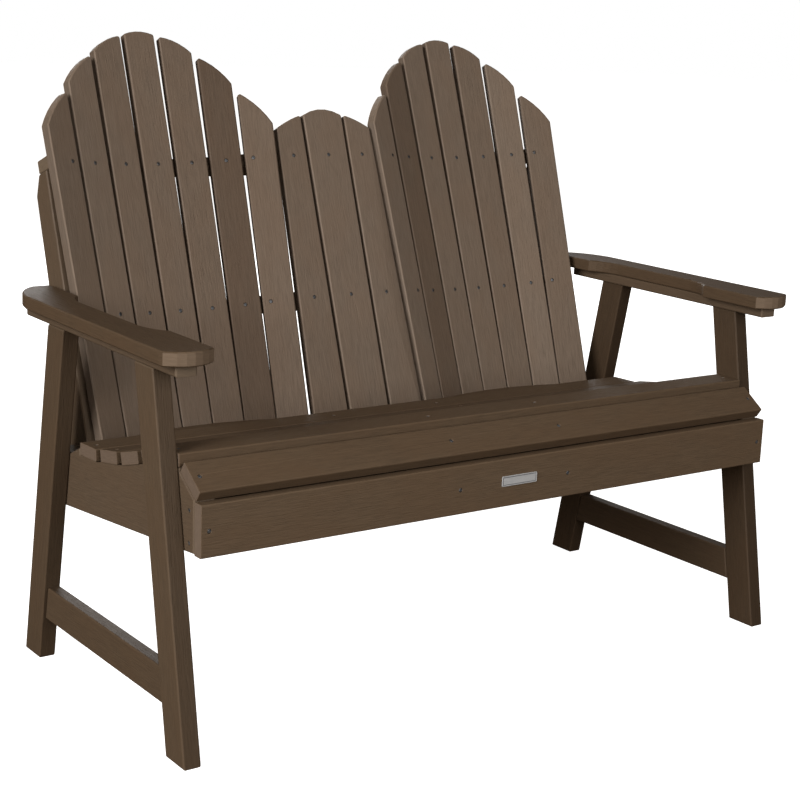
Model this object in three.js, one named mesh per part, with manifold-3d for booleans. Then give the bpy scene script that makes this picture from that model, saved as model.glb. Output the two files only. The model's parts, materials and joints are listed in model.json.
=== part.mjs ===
// Two-person garden bench with a double-wave fan back, built from synthetic lumber.
// Millimetres, +Z up. The front of the bench faces -Y. Left and right are as seen from
// the front, so left is -X. Every board, rail, post and key screw is its own mesh.
import * as THREE from 'three';
import { mergeVertices } from 'three/addons/utils/BufferGeometryUtils.js';
import Module from 'manifold-3d';

const wasm = await Module();
wasm.setup();

// ---- stock sizes ----
const GAP = 0.3;              // clearance between touching boards
const EASE = 2.2;             // eased edge on every board
const SLAT_T = 22.2;          // 7/8 in seat slat stock
const SEAT_SLAT_W = 63.5;     // 2 1/2 in seat slats
const BACK_SLAT_T = 19;       // 3/4 in back slat stock
const BACK_SLAT_W = 62.4;
const LEG_T = 31.8;           // 1 1/4 in leg stock
const LEG_W = 62.6;           // leg depth measured level
const RAIL_T = 38.1;          // 1 1/2 in rail stock

// ---- side frames ----
const LEG_OUT_X = 660.4;      // outer face of the legs, from the centre line
const LEG_IN_X = LEG_OUT_X - LEG_T;
const LEG_SPLAY = 0.181;      // both legs lean inwards by this much per millimetre of height
const REAR_LEG_Y = 556;       // front face of the rear leg at the floor
const STRETCHER_Z = [80.6, 142.2];
const STRETCHER_T = 25.4;
const ARM_PIVOT = { y: 34, z: 646.8 };   // underside of the armrest at its front
const ARM_RISE = 0.0107;      // armrests climb gently towards the back
const ARM_T = 24;
const ARM_OUT_X = [686, 683];   // outer edge at the front and at the back
const ARM_IN_X = 596.9;
const ARM_SCALLOP_X = 622;    // inner edge between the two wide ends
const ARM_REAR_Y = 635;
const ARM_RAIL_H = 19.5;
const ARM_RAIL_Y = [38, 594];

// ---- seat ----
const SEAT_RAIL_OUT_X = LEG_IN_X - GAP;
const SEAT_RAIL_IN_X = SEAT_RAIL_OUT_X - RAIL_T;
const MID_RAIL_X = 121.5;     // centre of each middle seat rail
const SEAT_HALF = 627.8;      // half length of the seat slats
const APRON = { y: 13, z: [341, 428.2], half: 627 };
const CROSSBAR = { y: APRON.y + SLAT_T + GAP, z: [347, 424] };
const SLANT = { y: 19.5, z: 447.2, pitch: 0.613 };   // lower front corner of the slanted slat

// upper front corner [y, z] and backward tilt of each seat slat, front to back
const SEAT_SLATS = [
  [84.6, 494, 0.0],
  [156.4, 491.2, -0.353],
  [228.8, 465.4, -0.265],
  [304.6, 446.2, -0.162],
  [382.4, 431.9, -0.023],
];
const REAR_SLAT = { y: 451, z: 394.9, half: 556 };

// ---- back ----
const RAKE = 19.7 * Math.PI / 180;
const WAVE_R = 560;           // radius of each person's hollow, across the boards
const PEAK = { y: 516, z: 416 };   // front face of the deepest slats at seat height
const HOLLOW_X = 356.3;       // middle of each hollow at seat height
const HOLLOW_DRIFT = -0.005;  // the hollows drift inwards going up
const FAN_PITCH = 63.9;       // slat spacing at seat height
const FAN_GROWTH = 0.0107;    // and how it opens going up
const SLAT_FOOT = -46;        // lower end of the slats, along the back from seat height
const TOP_NEAR = [1122.7, 1119.4, 1083.4, 1019.2];   // height of each slat's corner nearer the peak
const TOP_FAR = [1122.7, 1091, 1035.4, 962.8];       // and of the corner further from it
const TOP_BULGE = 5.8;
const VALLEY_V = -47;         // front face of the centre slat, forward of the peaks
const CENTRE_W = 90;
// The tapered slat at the left of the centre one is cut a little narrower than its twin.
const TAPER = { inner: 50.9, foot: [128, 131.3], top: [108.2, 110.4], v: [-46.5, -43] };
const POST = {
  outX: SEAT_RAIL_IN_X - GAP,
  t: 31.8,
  front: -16.5,
  rear: [62, 41.3, 17],       // depth of the rear edge at the foot, the shoulder and the top
  u: [-96, 453, 487.6],
};
const SUPPORT_T = 25.4;
const SUPPORT_REAR = { v: 69, half: 430, end: 19 };   // straight rear edge, angled off at the ends
const SUPPORTS = [
  { name: 'lower_back_support', u: -28, half: POST.outX - POST.t - GAP },
  { name: 'middle_back_support', u: 221, half: POST.outX - POST.t - GAP },
  { name: 'upper_back_support', u: 500.6, half: 588 },
];
const SCREW_ROWS = [217, 499];     // on the middle and upper supports
const EDGE_SCREW_SHIFT = 15.5;     // a fan's outermost slats have their screws nearer its middle

// ---- fasteners ----
const HEAD_R = 3.6;
const HEAD_H = 2.6;
const HEAD_SINK = 0.7;        // heads sit this far below the board's face
const SHANK_R = 2.1;
const SCREW_L = 44;

const COLOURS = {
  leg: 0x574838, arm: 0x4e3d2e, rail: 0x4f4031, seat: 0x5b4c3d, slat: 0x665746, steel: 0x59606a,
  plate: 0xb9bcbf,
};

function material(colour, roughness = 0.72, metalness = 0) {
  return new THREE.MeshStandardMaterial({ color: colour, roughness, metalness });
}

// Closed outline from [a, b, corner radius] points.
function outline(points) {
  const path = [];
  points.forEach(([a, b, radius], i) => {
    const corner = new THREE.Vector2(a, b);
    if (!radius) {
      path.push(corner);
      return;
    }
    const before = points[(i + points.length - 1) % points.length];
    const after = points[(i + 1) % points.length];
    const back = new THREE.Vector2(before[0], before[1]).sub(corner).normalize();
    const on = new THREE.Vector2(after[0], after[1]).sub(corner).normalize();
    const half = Math.acos(back.dot(on)) / 2;
    const centre = back.clone().add(on).setLength(radius / Math.sin(half)).add(corner);
    const start = corner.clone().addScaledVector(back, radius / Math.tan(half)).sub(centre);
    const end = corner.clone().addScaledVector(on, radius / Math.tan(half)).sub(centre);
    const steps = Math.max(1, Math.ceil((Math.PI - 2 * half) / (radius < 10 ? 0.8 : 0.35)));
    for (let k = 0; k <= steps; k += 1) {
      const spoke = start.clone().lerp(end, k / steps).setLength(radius);
      path.push(spoke.add(centre));
    }
  });
  return new THREE.Shape(path);
}

// Points of a smooth bend between two ends, leaving out the first end.
function bend(from, via, to, steps) {
  const curve = new THREE.QuadraticBezierCurve(
    new THREE.Vector2(...from), new THREE.Vector2(...via), new THREE.Vector2(...to));
  return curve.getPoints(steps).slice(1).map((p) => [p.x, p.y]);
}

// A board cut to an outline, with eased edges, from local z = 0 to its thickness.
function board(shape, thickness, ease = EASE) {
  const geometry = new THREE.ExtrudeGeometry(shape, {
    depth: thickness - 2 * ease,
    bevelEnabled: true,
    bevelThickness: ease,
    bevelSize: ease,
    bevelOffset: -ease,
    bevelSegments: 1,
  });
  return geometry.translate(0, 0, ease);
}

// A straight board with its length along local x, centred.
function plank(length, width, thickness) {
  const w = width / 2;
  const h = thickness / 2;
  const section = outline([[-w, -h, EASE], [w, -h, EASE], [w, h, EASE], [-w, h, EASE]]);
  const geometry = new THREE.ExtrudeGeometry(section, { depth: length, bevelEnabled: false });
  const turn = new THREE.Matrix4().makeBasis(
    new THREE.Vector3(0, 1, 0), new THREE.Vector3(0, 0, 1), new THREE.Vector3(1, 0, 0));
  return geometry.applyMatrix4(turn).translate(-length / 2, 0, 0);
}

// A board whose outline lies in the YZ plane, between two x positions.
function sideBoard(points, x0, x1) {
  const turn = new THREE.Matrix4().makeBasis(
    new THREE.Vector3(0, 1, 0), new THREE.Vector3(0, 0, 1), new THREE.Vector3(1, 0, 0));
  const geometry = board(outline(points), Math.abs(x1 - x0));
  return geometry.applyMatrix4(turn).translate(Math.min(x0, x1), 0, 0);
}

function toSolid(geometry) {
  const bare = new THREE.BufferGeometry();
  bare.setAttribute('position', geometry.getAttribute('position').clone());
  if (geometry.index) bare.setIndex(geometry.index.clone());
  const merged = mergeVertices(bare, 1e-3);
  const corners = merged.index.array;
  const kept = [];
  for (let i = 0; i < corners.length; i += 3) {
    const [a, b, c] = [corners[i], corners[i + 1], corners[i + 2]];
    if (a !== b && b !== c && c !== a) kept.push(a, b, c);
  }
  return new wasm.Manifold(new wasm.Mesh({
    numProp: 3,
    vertProperties: new Float32Array(merged.attributes.position.array),
    triVerts: new Uint32Array(kept),
  }));
}

function fromSolid(solid) {
  const mesh = solid.getMesh();
  const geometry = new THREE.BufferGeometry();
  geometry.setAttribute('position', new THREE.BufferAttribute(new Float32Array(mesh.vertProperties), 3));
  geometry.setIndex(new THREE.BufferAttribute(new Uint32Array(mesh.triVerts), 1));
  return geometry;
}

function cut(geometry, tools) {
  let solid = toSolid(geometry);
  for (const tool of tools) {
    solid = solid.subtract(toSolid(tool));
  }
  return fromSolid(solid);
}

function spindle(profile, segments = 12) {
  const points = profile.map(([r, z]) => new THREE.Vector2(r, z));
  return new THREE.LatheGeometry(points, segments).rotateX(Math.PI / 2);
}

// Flat recess for one screw head; the screw drives along local -z from the face at z = 0.
function pocket(depth = HEAD_SINK + HEAD_H + GAP) {
  const r = HEAD_R + GAP;
  return spindle([[0, -depth], [r, -depth], [r, 5], [0, 5]]);
}

// Head recess with a shank hole running on below it.
function screwHole() {
  const r = HEAD_R + GAP;
  const hole = SHANK_R + GAP;
  const seat = -(HEAD_SINK + HEAD_H + GAP);
  const end = -(SCREW_L + HEAD_SINK + GAP);
  return spindle([[0, end], [hole, end], [hole, seat], [r, seat], [r, 5], [0, 5]]);
}

// Pan-head screw with a square drive.
function screw() {
  const seat = -(HEAD_SINK + HEAD_H);
  const body = spindle([
    [0, -(SCREW_L + HEAD_SINK)],
    [0.9, -(SCREW_L + HEAD_SINK) + 1],
    [SHANK_R, -SCREW_L + 4],
    [SHANK_R, seat],
    [HEAD_R, seat],
    [HEAD_R, -HEAD_SINK - 0.8],
    [HEAD_R - 1.2, -HEAD_SINK],
    [0, -HEAD_SINK],
  ]);
  const drive = new THREE.BoxGeometry(3, 3, 3.4).translate(0, 0, -HEAD_SINK);
  return cut(body, [drive]);
}

// ---- scene helpers ----
const bench = new THREE.Group();

function add(parent, name, geometry, colour, options = {}) {
  const mesh = new THREE.Mesh(geometry, material(colour, options.roughness, options.metalness));
  mesh.name = name;
  parent.add(mesh);
  return mesh;
}

function frameMatrix(x, y, z, origin) {
  const matrix = new THREE.Matrix4().makeBasis(x, y, z);
  return matrix.setPosition(origin);
}

const SIDES = [['left', -1], ['right', 1]];

// Screws that are modelled in full, each with the matrix of its head.
const screws = [];

function addScrew(name, origin, direction) {
  const z = direction.clone().normalize();
  const x = new THREE.Vector3(1, 0, 0);
  if (Math.abs(z.x) > 0.9) x.set(0, 1, 0);
  const y = new THREE.Vector3().crossVectors(z, x).normalize();
  x.crossVectors(y, z).normalize();
  screws.push({ name, matrix: frameMatrix(x, y, z, origin) });
}

function holesFor(prefixes) {
  return screws.filter((s) => prefixes.some((p) => s.name.startsWith(p)))
    .map((s) => screwHole().applyMatrix4(s.matrix));
}

// ---- front rail shape shared by the four seat rails ----
const SLANT_DIR = [Math.cos(SLANT.pitch), Math.sin(SLANT.pitch)];
const SLANT_BACK = [Math.sin(SLANT.pitch), -Math.cos(SLANT.pitch)];

function slantUnderside(y) {
  const y0 = SLANT.y + SLANT_BACK[0] * SLAT_T;
  const z0 = SLANT.z + SLANT_BACK[1] * SLAT_T;
  return z0 + (y - y0) * Math.tan(SLANT.pitch) - 1.2 * GAP;
}

function slatUnderside([y, z, tilt]) {
  const down = [Math.sin(tilt) * SLAT_T, -Math.cos(tilt) * SLAT_T];
  const along = [Math.cos(tilt) * SEAT_SLAT_W, Math.sin(tilt) * SEAT_SLAT_W];
  const front = [y + down[0], z + down[1] - GAP];
  return [front, [front[0] + along[0], front[1] + along[1]]];
}

function railTop(startY) {
  const points = [[startY, slantUnderside(startY)], [85.2, slantUnderside(85.2)]];
  for (const slat of SEAT_SLATS) {
    points.push(...slatUnderside(slat));
  }
  return points;
}

function railFloor(y) {
  return 344.3 - 0.0867 * y;
}

// ---- side frames ----
const ARM_ANGLE = Math.atan(ARM_RISE);

function armUnderside(y) {
  return ARM_PIVOT.z + (y - ARM_PIVOT.y) * ARM_RISE;
}

function legOutline(footY, splay) {
  const railZ = (y) => armUnderside(y) - ARM_RAIL_H - 2 * GAP;
  const topFront = footY + splay * railZ(footY + splay * 620);
  const topRear = topFront + LEG_W;
  return [[footY, 0], [footY + LEG_W, 0], [topRear, railZ(topRear)], [topFront, railZ(topFront)]];
}

// Plan of a right-hand armrest.
function armPlan() {
  const [front, rear] = ARM_OUT_X;
  return [
    [front, 44],
    ...bend([front, 44], [front, 31], [680, 31], 2),
    ...bend([680, 31], [640, -4], [ARM_IN_X, 33], 6),
    [ARM_IN_X, 174],
    ...bend([ARM_IN_X, 174], [619, 192], [ARM_SCALLOP_X, 234], 4),
    [ARM_SCALLOP_X, 453],
    ...bend([ARM_SCALLOP_X, 453], [619, 493], [ARM_IN_X, 517], 4),
    [ARM_IN_X, ARM_REAR_Y],
    [632, ARM_REAR_Y],
    ...bend([632, ARM_REAR_Y], [672.5, 610], [rear, 545], 6),
  ];
}

SIDES.forEach(([word, side]) => {
  const frame = new THREE.Group();
  bench.add(frame);

  add(frame, `front_leg_${word}`,
    sideBoard(legOutline(0, LEG_SPLAY), side * LEG_IN_X, side * LEG_OUT_X), COLOURS.leg);
  add(frame, `rear_leg_${word}`,
    sideBoard(legOutline(REAR_LEG_Y, -LEG_SPLAY), side * LEG_IN_X, side * LEG_OUT_X), COLOURS.leg);

  const [z0, z1] = STRETCHER_Z;
  const frontFace = (z) => LEG_W + LEG_SPLAY * z + GAP;
  const rearFace = (z) => REAR_LEG_Y - LEG_SPLAY * z - GAP;
  add(frame, `side_stretcher_${word}`, sideBoard(
    [[frontFace(z0), z0], [rearFace(z0), z0], [rearFace(z1), z1], [frontFace(z1), z1]],
    side * LEG_IN_X, side * (LEG_IN_X + STRETCHER_T)), COLOURS.rail);

  const arm = new THREE.Group();
  arm.position.set(0, ARM_PIVOT.y, ARM_PIVOT.z);
  arm.rotation.x = ARM_ANGLE;
  frame.add(arm);
  const [railFront, railRear] = ARM_RAIL_Y.map((y) => y - ARM_PIVOT.y);
  add(arm, `arm_support_rail_${word}`, sideBoard(
    [[railFront, -ARM_RAIL_H - GAP], [railRear, -ARM_RAIL_H - GAP], [railRear, -GAP], [railFront, -GAP]],
    side * (LEG_OUT_X - RAIL_T), side * LEG_OUT_X), COLOURS.rail);
  const plan = armPlan().map(([x, y]) => [side * x, y]);
  const armrest = board(outline(side > 0 ? plan.reverse() : plan), ARM_T);
  add(arm, `armrest_${word}`, armrest.translate(0, -ARM_PIVOT.y, 0), COLOURS.arm);
});

// ---- seat frame ----
const X_AXIS = new THREE.Vector3(1, 0, 0);
const END_SCREW_X = SEAT_RAIL_OUT_X - LEG_T / 2;
const SCREW_COLUMNS = [
  ['1', -END_SCREW_X], ['2', -MID_RAIL_X], ['3', MID_RAIL_X], ['4', END_SCREW_X],
];

SCREW_COLUMNS.forEach(([number, x]) => {
  const mid = SEAT_SLAT_W / 2;
  addScrew(`apron_screw_${number}`,
    new THREE.Vector3(x, APRON.y, 384.5), new THREE.Vector3(0, -1, 0));
  addScrew(`front_slat_screw_${number}`,
    new THREE.Vector3(x, SLANT.y + SLANT_DIR[0] * mid, SLANT.z + SLANT_DIR[1] * mid),
    new THREE.Vector3(0, -SLANT_BACK[0], -SLANT_BACK[1]));
});
SIDES.forEach(([word, side]) => {
  [['upper', 411], ['lower', 357.5]].forEach(([level, z]) => {
    addScrew(`seat_rail_screw_${word}_${level}`,
      new THREE.Vector3(side * SEAT_RAIL_OUT_X, CROSSBAR.y + 15, z), new THREE.Vector3(side, 0, 0));
  });
});

const seat = new THREE.Group();
bench.add(seat);

const RAIL_REAR = { y: 553.6, z: 403 };   // rear end of the outer rails, sloped like the rear legs
const outerRail = [
  [APRON.y + SLAT_T + GAP, railFloor(APRON.y)],
  [RAIL_REAR.y, railFloor(RAIL_REAR.y)],
  [RAIL_REAR.y - LEG_SPLAY * (RAIL_REAR.z - railFloor(RAIL_REAR.y)), RAIL_REAR.z],
  [483.6, RAIL_REAR.z],
  [447.5, 420],
  ...railTop(APRON.y + SLAT_T + GAP).reverse(),
];
SIDES.forEach(([word, side]) => {
  const rail = sideBoard(outerRail, side * SEAT_RAIL_IN_X, side * SEAT_RAIL_OUT_X);
  add(seat, `seat_rail_${word}`,
    cut(rail, holesFor(['apron_screw', 'front_slat_screw', 'seat_rail_screw'])), COLOURS.rail);
});

const midStart = CROSSBAR.y + SLAT_T + GAP;
const midRail = [
  [midStart, railFloor(midStart)],
  [458, railFloor(458)],
  [458, REAR_SLAT.z - GAP],
  [447.5, REAR_SLAT.z - GAP],
  ...railTop(midStart).reverse(),
];
SIDES.forEach(([word, side]) => {
  const x = side * MID_RAIL_X;
  const rail = sideBoard(midRail, x - LEG_T / 2, x + LEG_T / 2);
  add(seat, `middle_seat_rail_${word}`, cut(rail, holesFor(['front_slat_screw'])), COLOURS.rail);
});

const crossbarHeight = CROSSBAR.z[1] - CROSSBAR.z[0];
const crossbar = plank(2 * (SEAT_RAIL_IN_X - GAP), SLAT_T, crossbarHeight)
  .translate(0, CROSSBAR.y + SLAT_T / 2, (CROSSBAR.z[0] + CROSSBAR.z[1]) / 2);
add(seat, 'front_crossbar', cut(crossbar, holesFor(['apron_screw', 'seat_rail_screw'])),
  COLOURS.rail);

const apronHeight = APRON.z[1] - APRON.z[0];
const apron = plank(2 * APRON.half, SLAT_T, apronHeight)
  .translate(0, APRON.y + SLAT_T / 2, (APRON.z[0] + APRON.z[1]) / 2);
add(seat, 'front_apron', cut(apron, holesFor(['apron_screw'])), COLOURS.seat);

function tiltedSlat(y, z, tilt, length) {
  const geometry = plank(length, SEAT_SLAT_W, SLAT_T).translate(0, SEAT_SLAT_W / 2, -SLAT_T / 2);
  return geometry.rotateX(tilt).translate(0, y, z);
}

const slanted = tiltedSlat(SLANT.y, SLANT.z, SLANT.pitch, 2 * (SEAT_HALF - 1.5));
add(seat, 'slanted_front_slat', cut(slanted, holesFor(['front_slat_screw'])), COLOURS.seat);

SEAT_SLATS.forEach(([y, z, tilt], i) => {
  const tools = SCREW_COLUMNS.map(([, x]) => pocket().translate(x, SEAT_SLAT_W / 2, 0));
  const slat = plank(2 * SEAT_HALF, SEAT_SLAT_W, SLAT_T).translate(0, SEAT_SLAT_W / 2, -SLAT_T / 2);
  const mesh = add(seat, `seat_slat_${i + 1}`, cut(slat, tools), COLOURS.seat);
  mesh.position.set(0, y, z);
  mesh.rotation.x = tilt;
});

// ---- back: a frame whose x runs across, y up the slats and z out of their front faces ----
const back = new THREE.Group();
back.position.set(0, PEAK.y, PEAK.z);
back.rotation.x = Math.PI / 2 - RAKE;
bench.add(back);

// Front face of the wave at height u: distance across and depth for a place along the arc.
function hollow(side, arc, u, radius = WAVE_R) {
  const angle = arc / WAVE_R;
  const middle = HOLLOW_X + HOLLOW_DRIFT * u;
  return new THREE.Vector3(
    side * (middle + radius * Math.sin(angle)), u, radius * Math.cos(angle) * -1 + WAVE_R);
}

function pitchAt(u) {
  return FAN_PITCH + FAN_GROWTH * u;
}

// Local frame of a straight board through two points of its centre line.
function slatFrame(low, high, across) {
  const up = high.clone().sub(low).normalize();
  const out = new THREE.Vector3().crossVectors(across, up).normalize();
  const side = new THREE.Vector3().crossVectors(up, out);
  return { up, out, side, low };
}

function heightToLength(frame, w, height) {
  const place = frame.low.clone().addScaledVector(frame.side, w);
  const tilt = new THREE.Matrix4().makeRotationX(Math.PI / 2 - RAKE);
  const start = place.clone().applyMatrix4(tilt).z + PEAK.z;
  const rise = frame.up.clone().applyMatrix4(tilt).z;
  return (height - start) / rise;
}

function archedTop(left, right, bulge) {
  const across = right[0] - left[0];
  const rise = right[1] - left[1];
  const length = Math.hypot(across, rise);
  const points = [];
  const steps = 5;
  for (let i = 1; i < steps; i += 1) {
    const t = i / steps;
    const lift = 4 * bulge * t * (1 - t);
    points.push([
      right[0] - across * t - rise / length * lift,
      right[1] - rise * t + across / length * lift,
    ]);
  }
  return points;
}

// A back slat from its two top corners and the two ends of its foot.
function addBackSlat(name, frame, { left, right, bulge, footLeft, footRight, screwShift = 0 }) {
  const shape = outline([
    [footLeft, SLAT_FOOT], [footRight, SLAT_FOOT],
    [right[0], right[1], 4],
    ...archedTop(left, right, bulge),
    [left[0], left[1], 4],
  ]);
  const slat = board(shape, BACK_SLAT_T).translate(0, 0, -BACK_SLAT_T);
  const screwAt = (u) => {
    const t = (u - SLAT_FOOT) / (Math.min(left[1], right[1]) - SLAT_FOOT);
    const low = (footLeft + footRight) / 2;
    return low + ((left[0] + right[0]) / 2 - low) * t + screwShift;
  };
  const tools = SCREW_ROWS.map((u) => pocket().translate(screwAt(u), u, 0));
  const mesh = add(back, name, cut(slat, tools), COLOURS.slat);
  const matrix = frameMatrix(frame.side, frame.up, frame.out, frame.low);
  mesh.applyMatrix4(matrix);
}

const W = BACK_SLAT_W / 2;
SIDES.forEach(([, side]) => {
  for (let i = 0; i < 7; i += 1) {
    const place = side < 0 ? 3 - i : i - 3;     // + is towards the end of the bench
    const arc = (u) => place * pitchAt(u);
    const low = hollow(side, arc(0), 0);
    const high = hollow(side, arc(552), 552);
    const angle = (arc(0) + arc(552)) / 2 / WAVE_R;
    const across = new THREE.Vector3(Math.cos(angle), 0, side * Math.sin(angle));
    const frame = slatFrame(low, high, across);
    const rank = Math.abs(place);
    const nearOnRight = side * place < 0;
    const near = TOP_NEAR[rank];
    const far = TOP_FAR[rank];
    const leftHeight = nearOnRight ? far : near;
    const rightHeight = nearOnRight ? near : far;
    const left = [-W, heightToLength(frame, -W, leftHeight)];
    const right = [W, heightToLength(frame, W, rightHeight)];
    const number = side < 0 ? i + 1 : i + 11;
    const screwShift = rank === 3 ? -side * Math.sign(place) * EDGE_SCREW_SHIFT : 0;
    addBackSlat(`back_slat_${String(number).padStart(2, '0')}`, frame,
      { left, right, bulge: TOP_BULGE, footLeft: -W, footRight: W, screwShift });
  }
});

// Centre slat, and a tapered slat either side of it.
const centreFrame = slatFrame(
  new THREE.Vector3(0, 0, -VALLEY_V), new THREE.Vector3(0, 552, -VALLEY_V), X_AXIS);
const centreTop = heightToLength(centreFrame, 0, 977.7);
addBackSlat('back_slat_09', centreFrame, {
  left: [-CENTRE_W / 2, centreTop],
  right: [CENTRE_W / 2, centreTop],
  bulge: 12,
  footLeft: -CENTRE_W / 2,
  footRight: CENTRE_W / 2,
});

SIDES.forEach(([, side]) => {
  const [vIn, vOut] = TAPER.v;
  const foot = TAPER.foot[side < 0 ? 0 : 1];
  const top = TAPER.top[side < 0 ? 0 : 1];
  const across = new THREE.Vector3(foot - TAPER.inner, 0, side * (vIn - vOut)).normalize();
  const low = new THREE.Vector3(side * TAPER.inner, 0, -vIn);
  const high = new THREE.Vector3(side * TAPER.inner, 552, -vIn);
  const frame = slatFrame(low, high, across);
  const inner = [0, heightToLength(frame, 0, 977.5)];
  const outer = [side * (top - TAPER.inner), 0];
  outer[1] = heightToLength(frame, outer[0], 952.2);
  const footOuter = side * (foot - TAPER.inner);
  const [left, right] = side < 0 ? [outer, inner] : [inner, outer];
  const [footLeft, footRight] = side < 0 ? [footOuter, 0] : [0, footOuter];
  addBackSlat(side < 0 ? 'back_slat_08' : 'back_slat_10', frame,
    { left, right, bulge: 2.5, footLeft, footRight });
});

// Line across one half of the bench, a fixed distance behind the slats' front faces.
function wavePoints(u, offset, half) {
  const line = [
    [0, VALLEY_V + offset],
    [TAPER.inner, VALLEY_V + offset],
    [TAPER.foot[1], TAPER.v[1] + offset],
  ];
  for (let i = offset > 0 ? -2.5 : -3.5; i <= 3.5; i += 1) {
    const p = hollow(1, i * pitchAt(u), u, WAVE_R + offset);
    line.push([p.x, -p.z]);
  }
  const last = line.findIndex(([x]) => x > half - 4);
  const [x0, v0] = line[last - 1];
  const [x1, v1] = line[last];
  return [...line.slice(0, last), [half, v0 + (v1 - v0) * (half - x0) / (x1 - x0)]];
}

SUPPORTS.forEach(({ name, u, half }) => {
  const front = wavePoints(u, BACK_SLAT_T + 2, half);
  const rear = [[half, SUPPORT_REAR.end], [SUPPORT_REAR.half, SUPPORT_REAR.v]];
  const rightSide = [...front, ...rear];
  const leftSide = rightSide.slice(1).reverse().map(([x, v]) => [-x, v]);
  // The outline is drawn as x and depth; turned, its thickness runs up the slats.
  const shape = outline([...leftSide, ...rightSide]);
  const turn = new THREE.Matrix4().makeBasis(
    new THREE.Vector3(1, 0, 0), new THREE.Vector3(0, 0, -1), new THREE.Vector3(0, 1, 0));
  const geometry = board(shape, SUPPORT_T).applyMatrix4(turn);
  add(back, name, geometry.translate(0, u - SUPPORT_T / 2, 0), COLOURS.rail);
});

SIDES.forEach(([word, side]) => {
  const [foot, shoulder, top] = POST.u.map((u, i) => [POST.rear[i], u]);
  const shape = outline([
    [POST.front, foot[1]], foot, [...shoulder, 12], [...top, 3], [POST.front, top[1]],
  ]);
  const turn = new THREE.Matrix4().makeBasis(
    new THREE.Vector3(0, 0, -1), new THREE.Vector3(0, 1, 0), new THREE.Vector3(1, 0, 0));
  const geometry = board(shape, POST.t).applyMatrix4(turn);
  const x = side > 0 ? POST.outX - POST.t : -POST.outX;
  add(back, `back_post_${word}`, geometry.translate(x, 0, 0), COLOURS.rail);
});

// ---- rear seat slat, scalloped to meet the back slats ----
const rearU = (REAR_SLAT.z - PEAK.z) / Math.cos(RAKE);
const rearEdge = wavePoints(rearU, 0, REAR_SLAT.half).map(([x, v]) => {
  const u = (REAR_SLAT.z - PEAK.z + v * Math.sin(RAKE)) / Math.cos(RAKE);
  return [x, PEAK.y + u * Math.sin(RAKE) + v * Math.cos(RAKE) - 2.5];
});
const rearShape = outline([
  [-REAR_SLAT.half, REAR_SLAT.y],
  [REAR_SLAT.half, REAR_SLAT.y],
  ...rearEdge.slice(1).reverse(),
  ...rearEdge.map(([x, y]) => [-x, y]),
]);
const lean = new THREE.Matrix4().set(1, 0, 0, 0, 0, 1, Math.tan(RAKE), 0, 0, 0, 1, 0, 0, 0, 0, 1);
const rearSlat = board(rearShape, SLAT_T, 1.5).applyMatrix4(lean).translate(0, 0, REAR_SLAT.z);
add(seat, 'rear_seat_slat', rearSlat, COLOURS.seat);

// ---- name plate and screws ----
const plateShape = outline([[-39.4, -9.2, 1], [39.4, -9.2, 1], [39.4, 9.2, 1], [-39.4, 9.2, 1]]);
const plate = new THREE.ExtrudeGeometry(plateShape, { depth: 1.5, bevelEnabled: false });
plate.rotateX(Math.PI / 2).translate(7.6, APRON.y - GAP, 388);
add(seat, 'name_plate', plate, COLOURS.plate, { roughness: 0.35, metalness: 0.9 });

screws.forEach(({ name, matrix }) => {
  const mesh = add(seat, name, screw(), COLOURS.steel, { roughness: 0.4, metalness: 0.8 });
  mesh.applyMatrix4(matrix);
});

// The origin is the middle of the footprint's bounding box, on the floor.
bench.updateMatrixWorld(true);
const extent = new THREE.Box3().setFromObject(bench, true);
const middle = extent.getCenter(new THREE.Vector3());
bench.position.set(-middle.x, -middle.y, -extent.min.z);
bench.updateMatrixWorld(true);

export default bench;
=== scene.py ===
"""Studio scene of a two-person garden bench in brown synthetic lumber."""
import json
import math
import random

import bmesh
import bpy
from mathutils import Matrix, Vector


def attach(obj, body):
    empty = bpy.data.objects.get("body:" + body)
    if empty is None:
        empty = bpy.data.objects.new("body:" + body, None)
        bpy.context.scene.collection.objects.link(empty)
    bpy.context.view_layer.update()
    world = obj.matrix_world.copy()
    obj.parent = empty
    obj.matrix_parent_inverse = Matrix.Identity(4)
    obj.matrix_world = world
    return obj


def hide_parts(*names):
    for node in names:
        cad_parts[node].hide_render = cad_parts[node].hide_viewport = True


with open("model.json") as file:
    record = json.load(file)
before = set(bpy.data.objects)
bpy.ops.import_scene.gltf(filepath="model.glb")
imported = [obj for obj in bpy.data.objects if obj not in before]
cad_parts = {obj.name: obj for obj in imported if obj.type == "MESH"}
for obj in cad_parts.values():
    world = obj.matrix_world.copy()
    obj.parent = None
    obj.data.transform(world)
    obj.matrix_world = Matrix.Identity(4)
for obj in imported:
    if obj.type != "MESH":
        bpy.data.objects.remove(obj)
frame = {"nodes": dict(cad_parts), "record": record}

random.seed(41)
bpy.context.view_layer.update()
NODES = frame["nodes"]
RECORD = frame["record"]
SLOT = {entry["node"]: entry["material_slot"] for entry in RECORD["subparts"]}

# ---- camera ----
AZIMUTH = math.radians(-36.011)
ELEVATION = math.radians(12.793)
ROLL = math.radians(-2.189)
CAMERA_PLACE = Vector((-1.8417, -2.5644, 1.1696))
LENS = 75.59
SHIFT = (-0.0019, 0.0004)


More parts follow.
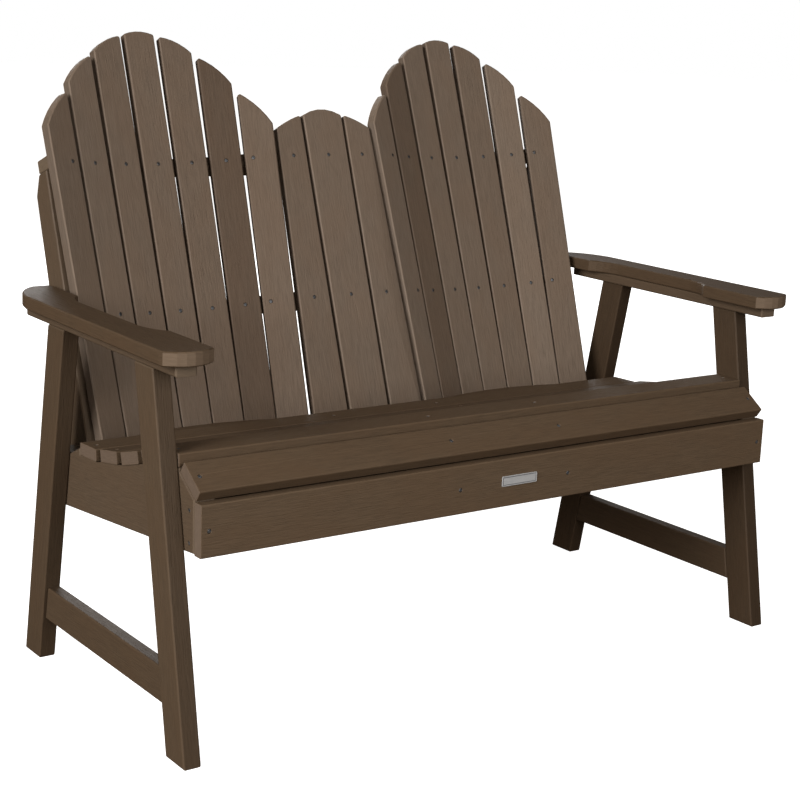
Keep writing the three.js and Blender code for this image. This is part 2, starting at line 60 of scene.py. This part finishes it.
def add_camera():
    back = Vector((math.sin(AZIMUTH) * math.cos(ELEVATION),
                   -math.cos(AZIMUTH) * math.cos(ELEVATION),
                   math.sin(ELEVATION)))
    forward = -back
    right = forward.cross(Vector((0, 0, 1))).normalized()
    down = forward.cross(right)
    c, s = math.cos(ROLL), math.sin(ROLL)
    x_axis = right * c + down * s
    y_axis = right * s - down * c
    data = bpy.data.cameras.new("camera")
    data.lens = LENS
    data.sensor_width = 36.0
    data.shift_x, data.shift_y = SHIFT
    data.clip_end = 60.0
    camera = bpy.data.objects.new("camera", data)
    matrix = Matrix((x_axis, y_axis, back)).transposed().to_4x4()
    matrix.translation = CAMERA_PLACE
    camera.matrix_world = matrix
    bpy.context.scene.collection.objects.link(camera)
    bpy.context.scene.camera = camera


# ---- node helpers ----
class Tree:
    """Short calls for building a shader tree."""

    def __init__(self, tree):
        self.tree = tree

    def add(self, kind, **settings):
        node = self.tree.nodes.new(kind)
        for key, value in settings.items():
            setattr(node, key, value)
        return node

    def plug(self, socket, value):
        if isinstance(value, bpy.types.NodeSocket):
            self.tree.links.new(value, socket)
        elif value is not None:
            socket.default_value = value

    def math(self, operation, a, b=None, c=None):
        node = self.add("ShaderNodeMath", operation=operation)
        for socket, value in zip(node.inputs, (a, b, c)):
            self.plug(socket, value)
        return node.outputs[0]

    def vmath(self, operation, a, b=None):
        node = self.add("ShaderNodeVectorMath", operation=operation)
        self.plug(node.inputs[0], a)
        self.plug(node.inputs[1], b)
        return node.outputs["Value"] if operation == "DOT_PRODUCT" else node.outputs[0]

    def place(self):
        return self.add("ShaderNodeTexCoord").outputs["Object"]

    def dot(self, vector, axis):
        return self.vmath("DOT_PRODUCT", vector, tuple(axis))

    def xyz(self, x, y, z):
        node = self.add("ShaderNodeCombineXYZ")
        for socket, value in zip(node.inputs, (x, y, z)):
            self.plug(socket, value)
        return node.outputs[0]

    def noise(self, vector, scale, detail=2.0, rough=0.5, distortion=0.0):
        node = self.add("ShaderNodeTexNoise")
        self.plug(node.inputs["Vector"], vector)
        self.plug(node.inputs["Scale"], scale)
        self.plug(node.inputs["Detail"], detail)
        self.plug(node.inputs["Roughness"], rough)
        self.plug(node.inputs["Distortion"], distortion)
        return node.outputs[0]

    def span(self, value, low, high, to_low=0.0, to_high=1.0):
        node = self.add("ShaderNodeMapRange", interpolation_type="SMOOTHSTEP")
        for name, number in (("Value", value), ("From Min", low), ("From Max", high),
                             ("To Min", to_low), ("To Max", to_high)):
            self.plug(node.inputs[name], number)
        return node.outputs[0]

    def mix(self, factor, a, b, blend="MIX"):
        node = self.add("ShaderNodeMix", data_type="RGBA", blend_type=blend)
        self.plug(node.inputs["Factor"], factor)
        self.plug(node.inputs["A"], a)
        self.plug(node.inputs["B"], b)
        return node.outputs["Result"]

    def bump(self, height, strength, distance):
        node = self.add("ShaderNodeBump")
        self.plug(node.inputs["Strength"], strength)
        self.plug(node.inputs["Distance"], distance)
        self.plug(node.inputs["Height"], height)
        return node.outputs[0]


def new_material(name):
    material = bpy.data.materials.new(name)
    material.use_nodes = True
    tree = material.node_tree
    tree.nodes.clear()
    shader = tree.nodes.new("ShaderNodeBsdfPrincipled")
    output = tree.nodes.new("ShaderNodeOutputMaterial")
    tree.links.new(shader.outputs[0], output.inputs["Surface"])
    return material, Tree(tree), shader


# ---- lumber ----
SHARP = 0.15                  # faces meeting at a larger angle than this, in radians, form an edge


def board_axes(obj):
    """Length, width and thickness directions of a board, its middle and its half sizes."""
    mesh = bmesh.new()
    mesh.from_mesh(obj.data)
    bmesh.ops.remove_doubles(mesh, verts=mesh.verts, dist=1e-6)
    sharp = [e for e in mesh.edges if len(e.link_faces) == 2 and e.calc_face_angle() > SHARP]
    longest = max(sharp, key=lambda e: e.calc_length())
    along = (longest.verts[1].co - longest.verts[0].co).normalized()
    areas = {}
    for face in mesh.faces:
        normal = face.normal
        if abs(normal.dot(along)) > 0.3:
            continue
        key = next((k for k in areas if abs(k.dot(normal)) > 0.999), None)
        if key is None:
            key = normal.copy().freeze()
            areas[key] = 0.0
        areas[key] += face.calc_area()
    thick = Vector(max(areas, key=areas.get))
    thick = (thick - along * thick.dot(along)).normalized()
    wide = thick.cross(along).normalized()
    spans = []
    for axis in (along, wide, thick):
        reach = [v.co.dot(axis) for v in mesh.verts]
        spans.append((min(reach), max(reach)))
    mesh.free()
    axes = (along, wide, thick)
    middle = sum((axis * (low + high) / 2 for axis, (low, high) in zip(axes, spans)), Vector())
    return axes, middle, [(high - low) / 2 for low, high in spans]


# Features per metre of each pattern, along, across and through the board.
DRIFT = (2.2, 3, 3)
GRAIN = (27, 380, 380)
FINE_GRAIN = (75, 950, 950)
PORES = (30, 620, 620)
MOTTLE = (9, 16, 16)
SAW_MARKS = (40, 60, 900)
RAGGED = (60, 200, 200)
SWAY = 3.2                    # how far the grain wanders sideways, in features
EDGE_WEAR_AND_HIGHLIGHT = (0.0004, 0.0026)  # rubbed edges and their painted highlight fade out between these distances from the edge
GLOSS = 0.14
GRAIN_DEPTH = 0.0011


def times(colour, factor):
    return tuple(min(1.0, c * factor) for c in colour) + (1.0,)


def edge_wear_and_highlight(t, reach, half, local):
    """One along the ragged, rubbed edges of a board, falling to zero inside its faces; it carries the
    painted highlight on the edges.
    """
    gaps = [t.math("SUBTRACT", size, t.math("ABSOLUTE", value)) for size, value in zip(half, reach)]
    low = t.math("MINIMUM", gaps[0], gaps[1])
    high = t.math("MAXIMUM", gaps[0], gaps[1])
    edge = t.math("MAXIMUM", low, t.math("MINIMUM", high, gaps[2]))
    ragged = t.math("MULTIPLY_ADD", t.noise(local(RAGGED, 29.0), 1.0, 2.0), 0.0035, -0.0009)
    return t.span(t.math("SUBTRACT", edge, ragged), *EDGE_WEAR_AND_HIGHLIGHT, 1.0, 0.0)


def lumber(name, shape, colours, tone_and_shade):
    """Extruded board: embossed straight grain, faint mottling, sawn ends, rubbed edges with a painted
    highlight, and painted shade on its narrow faces.
    """
    material, t, shader = new_material(name)
    (along, wide, thick), middle, half = shape
    colour, narrow_face_painted_shade, end_colour = colours
    place = t.vmath("SUBTRACT", t.place(), tuple(middle))
    reach = [t.dot(place, axis) for axis in (along, wide, thick)]
    seed = random.uniform(0, 40)

    def local(scales, offset=0.0):
        """Board coordinates at a pattern's scale, moved so that no two patterns or boards agree."""
        starts = (seed + offset, seed * 0.7, seed * 1.3)
        return t.xyz(*(t.math("MULTIPLY_ADD", *row) for row in zip(reach, scales, starts)))

    # The grain wanders slowly from side to side along the board.
    sway = t.math("MULTIPLY_ADD", t.noise(local(DRIFT, 7.0), 1.0, 2.0), SWAY, -SWAY / 2)
    sideways = t.xyz(0.0, sway, sway)
    long_grain = t.noise(t.vmath("ADD", local(GRAIN), sideways), 1.0, 3.0, 0.55, 0.3)
    fine_grain = t.noise(t.vmath("ADD", local(FINE_GRAIN, 3.0), sideways), 1.0, 2.0, 0.6)
    pores = t.span(t.noise(local(PORES, 11.0), 1.0, 1.0), 0.60, 0.72)
    mottle = t.noise(local(MOTTLE, 19.0), 1.0, 3.0)
    saw_marks = t.noise(local(SAW_MARKS, 23.0), 1.0, 2.0)
    edge_wear_and_highlight_mask = edge_wear_and_highlight(t, reach, half, local)

    # Sawn ends carry saw marks in place of grain, and narrow faces are darkened with painted shade.
    normal = t.add("ShaderNodeNewGeometry").outputs["Normal"]
    sawn = t.span(t.math("ABSOLUTE", t.dot(normal, along)), 0.55, 0.8)
    narrow = t.span(t.math("ABSOLUTE", t.dot(normal, wide)), 0.7, 0.95)

    base = t.mix(t.span(long_grain, 0.32, 0.68), times(colour, 0.89), times(colour, 1.09))
    base = t.mix(t.math("MULTIPLY", t.span(fine_grain, 0.35, 0.7), 0.3), base, times(colour, 1.18))
    base = t.mix(t.math("MULTIPLY", pores, 0.3), base, times(colour, 0.68))
    warm = (colour[0] * 1.05, colour[1] * 0.98, colour[2] * 0.92, 1.0)
    base = t.mix(t.math("MULTIPLY", t.span(mottle, 0.35, 0.65), 0.4), base, warm)
    # Painted shade on the narrow faces.
    narrow_face_shaded = t.mix(1.0, base, (narrow_face_painted_shade, narrow_face_painted_shade, narrow_face_painted_shade, 1.0), "MULTIPLY")
    base = t.mix(narrow, base, narrow_face_shaded)
    ends = t.mix(t.span(saw_marks, 0.35, 0.65), times(end_colour, 0.92), times(end_colour, 1.08))
    base = t.mix(sawn, base, ends)
    # Painted highlight along the rubbed edges.
    base = t.mix(t.math("MULTIPLY", edge_wear_and_highlight_mask, 0.18), base, times(colour, 1.3))
    # Board tone, with painted shade on the listed boards, multiplies the colour.
    base = t.mix(1.0, base, tone_and_shade + (1.0,), "MULTIPLY")
    t.plug(shader.inputs["Base Color"], base)

    rough = t.math("MULTIPLY_ADD", long_grain, -0.14, 0.66)
    rough = t.math("MULTIPLY_ADD", pores, 0.12, rough)
    rough = t.math("MULTIPLY_ADD", edge_wear_and_highlight_mask, -0.08, rough)
    t.plug(shader.inputs["Roughness"], rough)
    shader.inputs["Specular IOR Level"].default_value = GLOSS

    relief = t.math("MULTIPLY_ADD", fine_grain, 0.35, long_grain)
    relief = t.math("MULTIPLY_ADD", pores, -0.35, relief)
    end_relief = t.math("MULTIPLY", t.math("MULTIPLY", saw_marks, 0.5), sawn)
    height = t.math("MULTIPLY_ADD", relief, t.math("SUBTRACT", 1.0, sawn), end_relief)
    t.plug(shader.inputs["Normal"], t.bump(height, 0.55, GRAIN_DEPTH))
    return material


# Colour of each family of boards, the painted shade on its narrow faces, and its sawn ends.
FAMILIES = {
    # The legs' dark colour is partly painted shade.
    "leg_lumber": ((0.0725, 0.0478, 0.0285), 0.80, (0.11, 0.075, 0.047)),
    "frame_lumber": ((0.0825, 0.0562, 0.0355), 1.0, (0.125, 0.09, 0.06)),
    "arm_lumber": ((0.0675, 0.0432, 0.0247), 1.0, (0.124, 0.086, 0.0565)),
    "seat_lumber": ((0.0855, 0.0562, 0.0335), 1.0, (0.117, 0.083, 0.059)),
    # The back boards' pale colour is partly a painted sheen on the leaning back.
    "back_lumber": ((0.139, 0.1020, 0.0740), 0.72, (0.17, 0.13, 0.10)),
}
# Boards clearly paler or darker than their family; the right-hand legs and stretcher are darkened
# with painted shade. Apart from the back boards, the others get a small random shade.
BOARD_SHADES = {
    "front_apron": 1.1,
    "front_leg_left": 1.05,
    "rear_leg_left": 0.95,
    "front_leg_right": 0.72,
    "rear_leg_right": 0.68,
    "side_stretcher_right": 0.85,
}
# The back boards, left to right: the sixth is the darkest and the eleventh the palest. Partly each
# board's own tone, partly painted light and shade.
BACK_SHADES = [1.05, 1.1, 1.0, 0.95, 0.85, 0.6, 0.85, 0.95, 1.05, 1.1,
               1.2, 0.85, 1.1, 1.05, 0.95, 1.1, 0.9]
GREEN_BITE, BLUE_BITE = 1.15, 1.3     # darker boards are warmer as well, copying the warm cast of shade


def board_tone_and_shade(name, usual):
    shade = BOARD_SHADES.get(name, usual)
    if name.startswith("back_slat_"):
        shade = BACK_SHADES[int(name[-2:]) - 1]
    return shade, shade ** GREEN_BITE, shade ** BLUE_BITE


BOARD_ROUND, STEEL_ROUND = 0.0010, 0.0003


def finish_boards():
    for name in sorted(NODES):
        slot = SLOT[name]
        if slot not in FAMILIES:
            continue
        obj = NODES[name]
        tone_and_shade = board_tone_and_shade(name, random.uniform(0.965, 1.035))
        material = lumber(f"{name}_lumber", board_axes(obj), FAMILIES[slot], tone_and_shade)
        obj.data.materials.clear()
        obj.data.materials.append(material)
        soften(obj, BOARD_ROUND)


def soften(obj, width):
    """Rounds the corners of the eased edges."""
    weld = obj.modifiers.new("weld", "WELD")
    weld.merge_threshold = 1e-6
    bevel = obj.modifiers.new("round", "BEVEL")
    bevel.width = width
    bevel.segments = 2
    bevel.limit_method = "ANGLE"
    bevel.angle_limit = math.radians(32)
    bevel.harden_normals = True


# ---- screws ----
HEAD_R = 0.0035
HEAD_H = 0.0026
HEAD_SINK = 0.0007
POCKET_DEPTH = 0.0036         # floor of a screw recess below the board's face
POCKET_REACH = 0.012          # points farther apart than this belong to different recesses
# Square drive from its mouth to its floor: half width, depth below the crown.
DRIVE_STEPS = [(0.00165, 0.00002), (0.00158, 0.0003), (0.0015, 0.0021)]


def steel():
    """Dark satin steel with a gritty grey surface and brown tarnish in patches."""
    material, t, shader = new_material("screw_steel")
    place = t.place()
    grit = t.noise(place, 900.0, 3.0, 0.6)
    stain = t.noise(place, 140.0, 2.0)
    base = t.mix(t.span(grit, 0.3, 0.7), (0.08, 0.082, 0.087, 1), (0.16, 0.162, 0.17, 1))
    base = t.mix(t.math("MULTIPLY", t.span(stain, 0.5, 0.7), 0.5), base, (0.10, 0.075, 0.055, 1))
    t.plug(shader.inputs["Base Color"], base)
    shader.inputs["Metallic"].default_value = 0.75
    t.plug(shader.inputs["Roughness"], t.math("MULTIPLY_ADD", grit, 0.25, 0.38))
    t.plug(shader.inputs["Normal"], t.bump(grit, 0.25, 0.0002))
    return material


def pockets(obj):
    """Middle of each screw recess at the board's face, and the way the face looks."""
    mesh = bmesh.new()
    mesh.from_mesh(obj.data)
    (_, _, thick), _, _ = board_axes(obj)
    found = []
    for normal in (thick, -thick):
        facing = [f for f in mesh.faces if f.normal.dot(normal) > 0.999]
        top = max(f.calc_center_median().dot(normal) for f in facing)
        clusters = []
        for face in facing:
            depth = top - face.calc_center_median().dot(normal)
            if abs(depth - POCKET_DEPTH) >= 0.0002:
                continue
            for vert in face.verts:
                near = next((c for c in clusters if (c[0] - vert.co).length < POCKET_REACH), None)
                if near is None:
                    clusters.append([vert.co.copy()])
                else:
                    near.append(vert.co.copy())
        for cluster in clusters:
            low = Vector(min(p[i] for p in cluster) for i in range(3))
            high = Vector(max(p[i] for p in cluster) for i in range(3))
            found.append(((low + high) / 2 + normal * POCKET_DEPTH, normal))
    mesh.free()
    return sorted(found, key=lambda item: tuple(round(v, 5) for v in item[0]))


def screw_head(mesh, place, normal, turn):
    """Pan head with a square drive, its crown just below the board's face."""
    up = normal.normalized()
    side = up.orthogonal().normalized()
    side = (Matrix.Rotation(turn, 3, up) @ side).normalized()
    other = up.cross(side)
    steps = 24

    def loop(reach_at, depth):
        points = []
        for k in range(steps):
            angle = 2 * math.pi * k / steps
            reach = reach_at(angle)
            start = place - up * depth + side * reach * math.cos(angle)
            points.append(mesh.verts.new(start + other * reach * math.sin(angle)))
        return points

    def ring(radius, depth):
        return loop(lambda angle: radius, depth)

    def square(half, depth):
        return loop(lambda angle: half / max(abs(math.cos(angle)), abs(math.sin(angle))), depth)

    foot = HEAD_SINK + HEAD_H
    loops = [
        ring(HEAD_R * 0.5, foot),
        ring(HEAD_R, foot),
        ring(HEAD_R, HEAD_SINK + 0.0012),
        ring(HEAD_R * 0.93, HEAD_SINK + 0.0005),
        ring(HEAD_R * 0.78, HEAD_SINK + 0.0001),
        ring(HEAD_R * 0.62, HEAD_SINK),
    ]
    loops += [square(half, HEAD_SINK + depth) for half, depth in DRIVE_STEPS]
    for inner, outer in zip(loops, loops[1:]):
        for k in range(steps):
            n = (k + 1) % steps
            mesh.faces.new((inner[k], inner[n], outer[n], outer[k]))
    mesh.faces.new(list(reversed(loops[0])))
    mesh.faces.new(loops[-1])


def add_screws(name, boards, material):
    mesh = bmesh.new()
    for board in boards:
        for place, normal in pockets(NODES[board]):
            screw_head(mesh, place, normal, random.uniform(0, math.pi / 2))
    bmesh.ops.recalc_face_normals(mesh, faces=mesh.faces)
    data = bpy.data.meshes.new(name)
    mesh.to_mesh(data)
    mesh.free()
    data.materials.append(material)
    obj = bpy.data.objects.new(name, data)
    bpy.context.scene.collection.objects.link(obj)
    for face in data.polygons:
        face.use_smooth = True
    split = obj.modifiers.new("split", "EDGE_SPLIT")
    split.split_angle = math.radians(35)
    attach(obj, "root")


def finish_metal():
    material = steel()
    for name in sorted(NODES):
        if SLOT[name] == "screw_steel":
            NODES[name].data.materials.clear()
            NODES[name].data.materials.append(material)
            soften(NODES[name], STEEL_ROUND)
    add_screws("seat_slat_screws", [f"seat_slat_{i}" for i in range(1, 6)], material)
    add_screws("back_slat_screws", [f"back_slat_{i:02d}" for i in range(1, 18)], material)


# ---- name plate ----
# Steps of the plate's face from its rim inwards: inset, depth below the face, corner radius.
PLATE_STEPS = [
    (0.0000, 0.0003, 0.0025),
    (0.0003, 0.0000, 0.0023),
    (0.0009, 0.0000, 0.0018),
    (0.0011, 0.0003, 0.0016),
    (0.0020, 0.0003, 0.0011),
    (0.0021, 0.0005, 0.0010),
    (0.0025, 0.0005, 0.0008),
    (0.0026, 0.0003, 0.0007),
]
ENGRAVED_INSET = 0.0023


def plate_metal(middle, half_x, half_z):
    """Pale brushed metal, faintly clouded, with a dark line just inside the rim."""
    material, t, shader = new_material("plate_metal")
    place = t.place()
    brushed = t.noise(t.vmath("MULTIPLY", place, (60.0, 900.0, 2400.0)), 1.0, 3.0, 0.6)
    cloud = t.noise(place, 60.0, 2.0)
    base = t.mix(t.span(brushed, 0.3, 0.7), (0.39, 0.395, 0.40, 1), (0.49, 0.495, 0.50, 1))
    base = t.mix(t.math("MULTIPLY", t.span(cloud, 0.45, 0.7), 0.25), base, (0.35, 0.35, 0.35, 1))
    local = t.vmath("SUBTRACT", place, tuple(middle))
    x, z = t.dot(local, (1, 0, 0)), t.dot(local, (0, 0, 1))
    inset = t.math("MINIMUM", t.math("SUBTRACT", half_x, t.math("ABSOLUTE", x)),
                   t.math("SUBTRACT", half_z, t.math("ABSOLUTE", z)))
    away = t.math("ABSOLUTE", t.math("SUBTRACT", inset, ENGRAVED_INSET))
    base = t.mix(t.span(away, 0.0006, 0.0010, 0.8, 0.0), base, (0.11, 0.11, 0.12, 1))
    t.plug(shader.inputs["Base Color"], base)
    shader.inputs["Metallic"].default_value = 0.25
    t.plug(shader.inputs["Roughness"], t.math("MULTIPLY_ADD", brushed, 0.2, 0.34))
    t.plug(shader.inputs["Normal"], t.bump(brushed, 0.2, 0.0001))
    return material


def add_plate():
    """Blank plate with rounded corners, a raised rim and an engraved line inside it."""
    node = NODES["name_plate"]
    low = Vector(min(v.co[i] for v in node.data.vertices) for i in range(3))
    high = Vector(max(v.co[i] for v in node.data.vertices) for i in range(3))
    middle = (low + high) / 2
    half_x, half_z = (high.x - low.x) / 2, (high.z - low.z) / 2
    front, back = low.y, high.y
    mesh = bmesh.new()

    def loop(inset, y, radius):
        points = []
        for cx, cz, start in ((1, 1, 0), (-1, 1, 90), (-1, -1, 180), (1, -1, 270)):
            for k in range(5):
                angle = math.radians(start + 22.5 * k)
                x = middle.x + cx * (half_x - inset - radius) + radius * math.cos(angle)
                z = middle.z + cz * (half_z - inset - radius) + radius * math.sin(angle)
                points.append(mesh.verts.new((x, y, z)))
        return points

    loops = [loop(0.0, back, PLATE_STEPS[0][2])]
    loops += [loop(inset, front + depth, radius) for inset, depth, radius in PLATE_STEPS]
    count = len(loops[0])
    for outer, inner in zip(loops, loops[1:]):
        for k in range(count):
            n = (k + 1) % count
            mesh.faces.new((outer[k], outer[n], inner[n], inner[k]))
    mesh.faces.new(loops[0])
    mesh.faces.new(loops[-1])
    bmesh.ops.recalc_face_normals(mesh, faces=mesh.faces)
    data = bpy.data.meshes.new("blank_plate")
    mesh.to_mesh(data)
    mesh.free()
    data.materials.append(plate_metal(middle, half_x, half_z))
    plate = bpy.data.objects.new("blank_plate", data)
    bpy.context.scene.collection.objects.link(plate)
    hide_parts("name_plate")
    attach(plate, "root")


# ---- stage ----
FLOOR_HALF = 30
FLOOR_GLOW = 0.92                    # lifts the floor, as the camera sees it, to the backdrop's white
FLOOR_BOUNCE = (0.12, 0.09, 0.065, 1)  # colour that the floor throws back on the bench
AMBIENT = 0.22                       # strength of the light from the surroundings
AMBIENT_TINT = (1.0, 0.88, 0.76, 1.0)


def add_stage():
    mesh = bpy.data.meshes.new("studio_floor")
    corners = [(x * FLOOR_HALF, y * FLOOR_HALF, 0) for x, y in ((-1, -1), (1, -1), (1, 1), (-1, 1))]
    mesh.from_pydata(corners, [], [(0, 1, 2, 3)])
    floor = bpy.data.objects.new("studio_floor", mesh)
    bpy.context.scene.collection.objects.link(floor)
    material, t, shader = new_material("studio_floor")
    shader.inputs["Roughness"].default_value = 0.9
    shader.inputs["Specular IOR Level"].default_value = 0.0
    shader.inputs["Emission Color"].default_value = (1, 1, 1, 1)
    seen = t.add("ShaderNodeLightPath").outputs["Is Camera Ray"]
    t.plug(shader.inputs["Emission Strength"], t.math("MULTIPLY", seen, FLOOR_GLOW))
    t.plug(shader.inputs["Base Color"], t.mix(seen, FLOOR_BOUNCE, (0.85, 0.85, 0.85, 1)))
    mesh.materials.append(material)

    world = bpy.data.worlds.new("studio")
    world.use_nodes = True
    sky = Tree(world.node_tree)
    background = world.node_tree.nodes["Background"]
    seen = sky.add("ShaderNodeLightPath").outputs["Is Camera Ray"]
    sky.plug(background.inputs["Color"], sky.mix(seen, AMBIENT_TINT, (1.0, 1.0, 1.0, 1.0)))
    sky.plug(background.inputs["Strength"], sky.math("MULTIPLY_ADD", seen, 1.0 - AMBIENT, AMBIENT))
    bpy.context.scene.world = world


def area_light(name, place, target, size, power):
    data = bpy.data.lights.new(name, "AREA")
    data.shape = "RECTANGLE"
    data.size, data.size_y = size
    data.energy = power
    light = bpy.data.objects.new(name, data)
    direction = Vector(target) - Vector(place)
    light.rotation_euler = direction.to_track_quat("-Z", "Y").to_euler()
    light.location = place
    bpy.context.scene.collection.objects.link(light)


def add_lights():
    area_light("left_softbox", (-6.0, -1.7, 2.7), (0, 0, 0.6), (3.2, 3.0), 450)
    area_light("front_softbox", (-0.8, -4.7, 1.8), (0, 0, 0.6), (3.4, 2.0), 130)
    area_light("rear_softbox", (2.2, 4.8, 2.0), (0, 0, 0.5), (3.4, 2.2), 120)


add_camera()
finish_boards()
finish_metal()
add_plate()
add_stage()
add_lights()

bpy.context.scene.view_settings.view_transform = "Standard"
bpy.context.view_layer.update()
